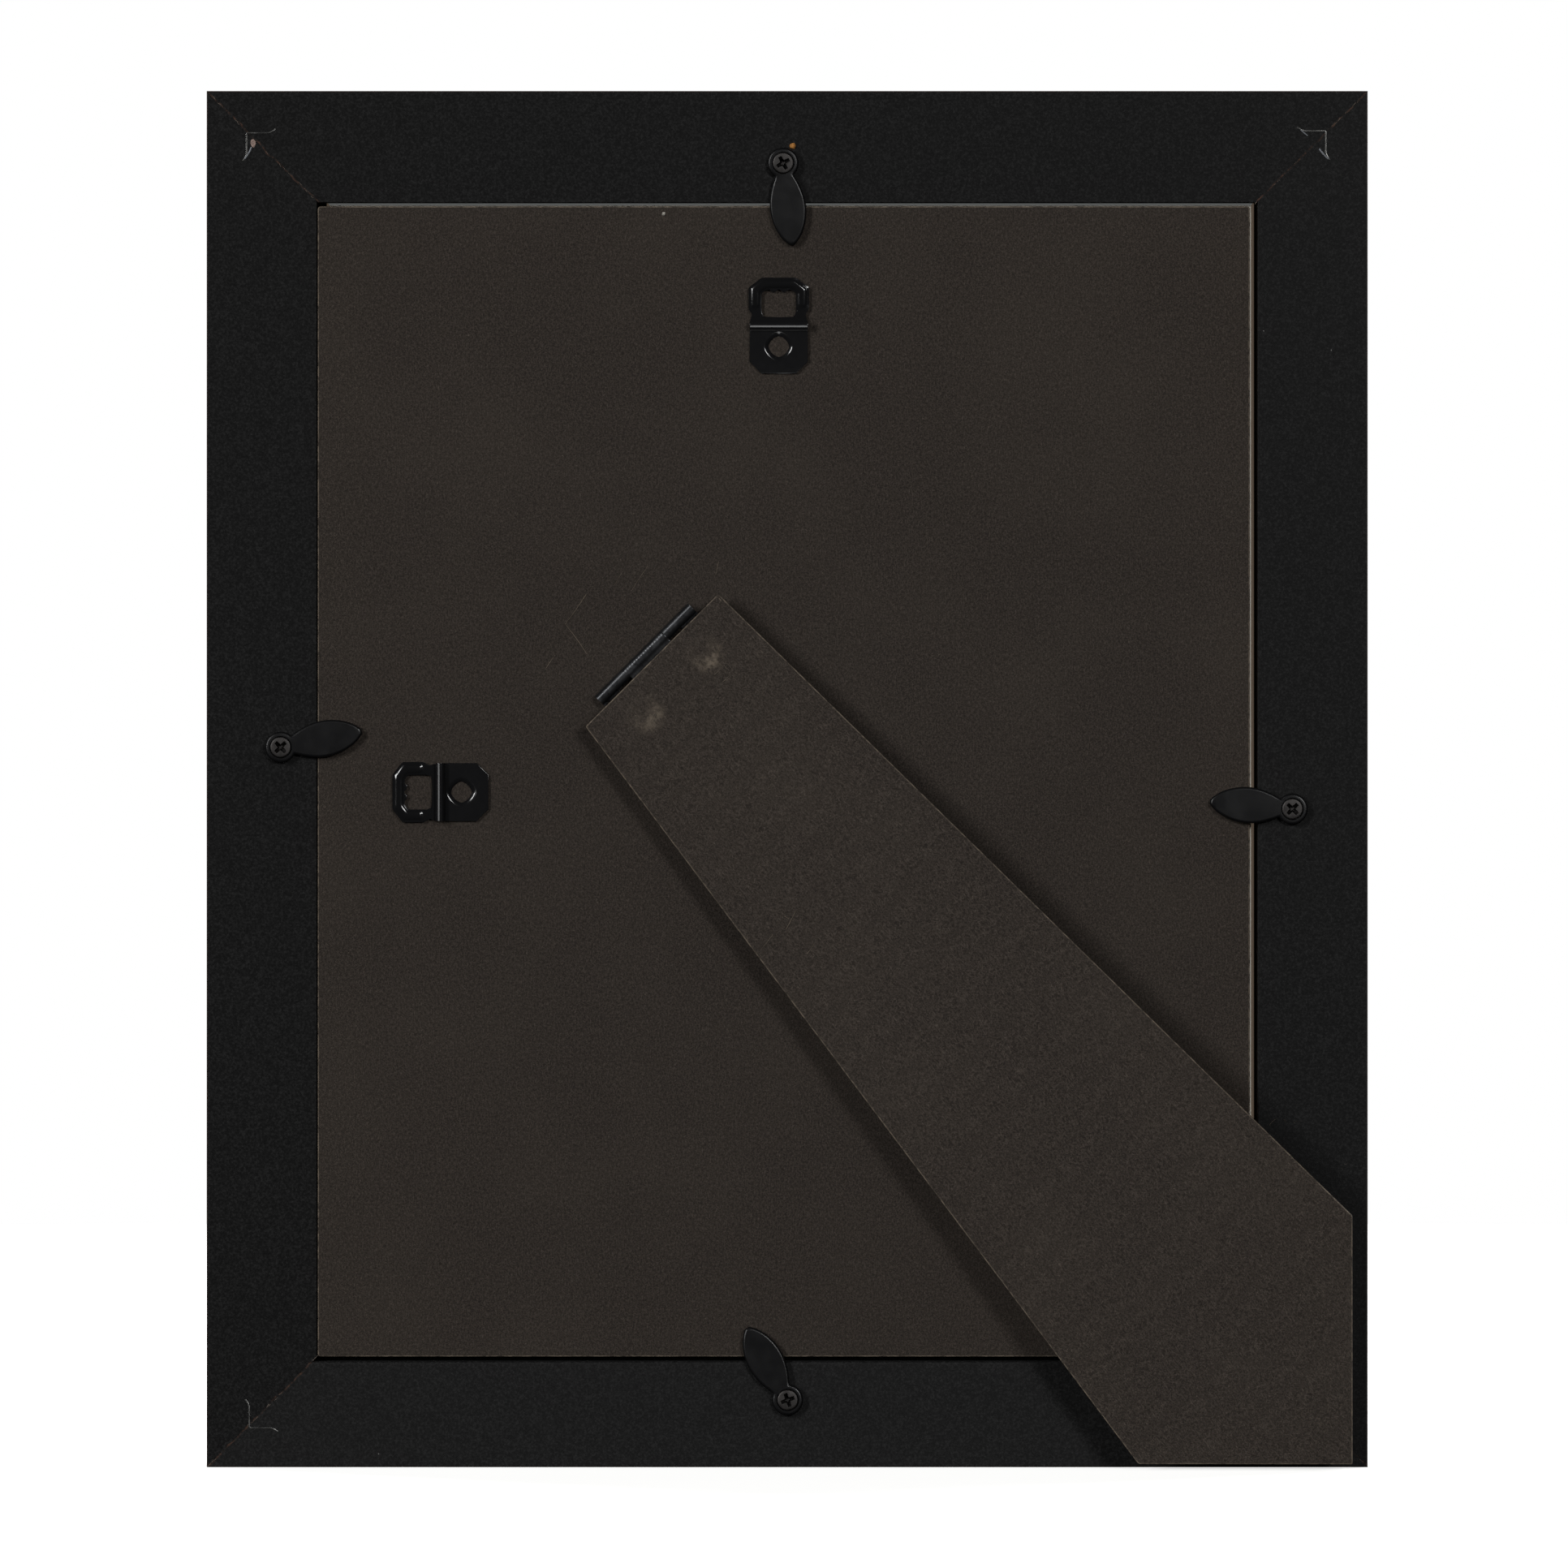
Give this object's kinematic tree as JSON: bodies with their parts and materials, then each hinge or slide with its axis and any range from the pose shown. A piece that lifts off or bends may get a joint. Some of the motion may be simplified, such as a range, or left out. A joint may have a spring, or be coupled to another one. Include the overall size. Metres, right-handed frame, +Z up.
{
  "type": "picture frame with easel back",
  "caption": "Black mitred wooden picture frame with glazed front, turn buttons holding a fibreboard back, a diagonal two-way easel leg on a rolled hinge and swinging wall hangers.",
  "frame": {"origin": "middle of the bottom rail's underside, halfway through the moulding's depth", "axes": "+Z up to the top rail, -Y out of the glazed front, +Y out of the back, so +X is to the left as seen from the back"},
  "size_m": [0.256, 0.032, 0.3034],
  "materials": {
    "black_moulding": "satin black paint on wood moulding",
    "dark_fibreboard": "matt dark brown-black pressed fibreboard with pale fibre flecks",
    "gloss_black_enamel": "gloss black enamel on stamped steel",
    "black_enamel_button": "satin black enamel on cast metal",
    "grey_steel": "dull grey rolled steel",
    "dark_screw_steel": "blackened steel",
    "bright_steel": "bare steel strip",
    "clear_glass": "clear float glass with ground edges",
    "insert_paper": "plain uncoated off-white card"
  },
  "bodies": {
    "frame": {"top_rail": "black_moulding", "bottom_rail": "black_moulding", "left_rail": "black_moulding", "right_rail": "black_moulding", "top_left_v_nail": "bright_steel", "top_right_v_nail": "bright_steel", "bottom_left_v_nail": "bright_steel", "bottom_right_v_nail": "bright_steel", "top_button_screw": "dark_screw_steel", "bottom_button_screw": "dark_screw_steel", "left_button_screw": "dark_screw_steel", "right_button_screw": "dark_screw_steel", "glass_pane": "clear_glass", "insert_sheet": "insert_paper", "backing_board": "dark_fibreboard", "hinge_board_leaf": "grey_steel", "hinge_pin": "grey_steel", "top_hanger_plate": "gloss_black_enamel", "left_hanger_plate": "gloss_black_enamel"},
    "easel_leg": {"easel_leg": "dark_fibreboard", "hinge_leg_leaf": "grey_steel"},
    "top_button": {"top_turn_button": "black_enamel_button"},
    "bottom_button": {"bottom_turn_button": "black_enamel_button"},
    "left_button": {"left_turn_button": "black_enamel_button"},
    "right_button": {"right_turn_button": "black_enamel_button"},
    "top_loop": {"top_hanger_loop": "gloss_black_enamel"},
    "left_loop": {"left_hanger_loop": "gloss_black_enamel"}
  },
  "joints": [
    {"name": "leg_hinge", "type": "hinge", "parent": "frame", "child": "easel_leg", "pos_m": [0.03115, 0.0104, 0.1792], "axis": [0.7071, 0, -0.7071], "range_deg": [-2, 33]},
    {"name": "top_button_turn", "type": "hinge", "parent": "frame", "child": "top_button", "pos_m": [0.0009, 0.009, 0.2874], "axis": [0, 1, 0], "continuous": true},
    {"name": "bottom_button_turn", "type": "hinge", "parent": "frame", "child": "bottom_button", "pos_m": [-0.0001, 0.009, 0.0149], "axis": [0, 1, 0], "continuous": true},
    {"name": "left_button_turn", "type": "hinge", "parent": "frame", "child": "left_button", "pos_m": [0.1116, 0.009, 0.1587], "axis": [0, 1, 0], "continuous": true},
    {"name": "right_button_turn", "type": "hinge", "parent": "frame", "child": "right_button", "pos_m": [-0.1113, 0.009, 0.1451], "axis": [0, 1, 0], "continuous": true},
    {"name": "top_loop_swing", "type": "hinge", "parent": "frame", "child": "top_loop", "pos_m": [0.00185, 0.01, 0.2517], "axis": [-1, 0, 0], "range_deg": [0, 40]},
    {"name": "left_loop_swing", "type": "hinge", "parent": "frame", "child": "left_loop", "pos_m": [0.0765, 0.01, 0.1488], "axis": [0, 0, 1], "range_deg": [0, 40]}
  ]
}
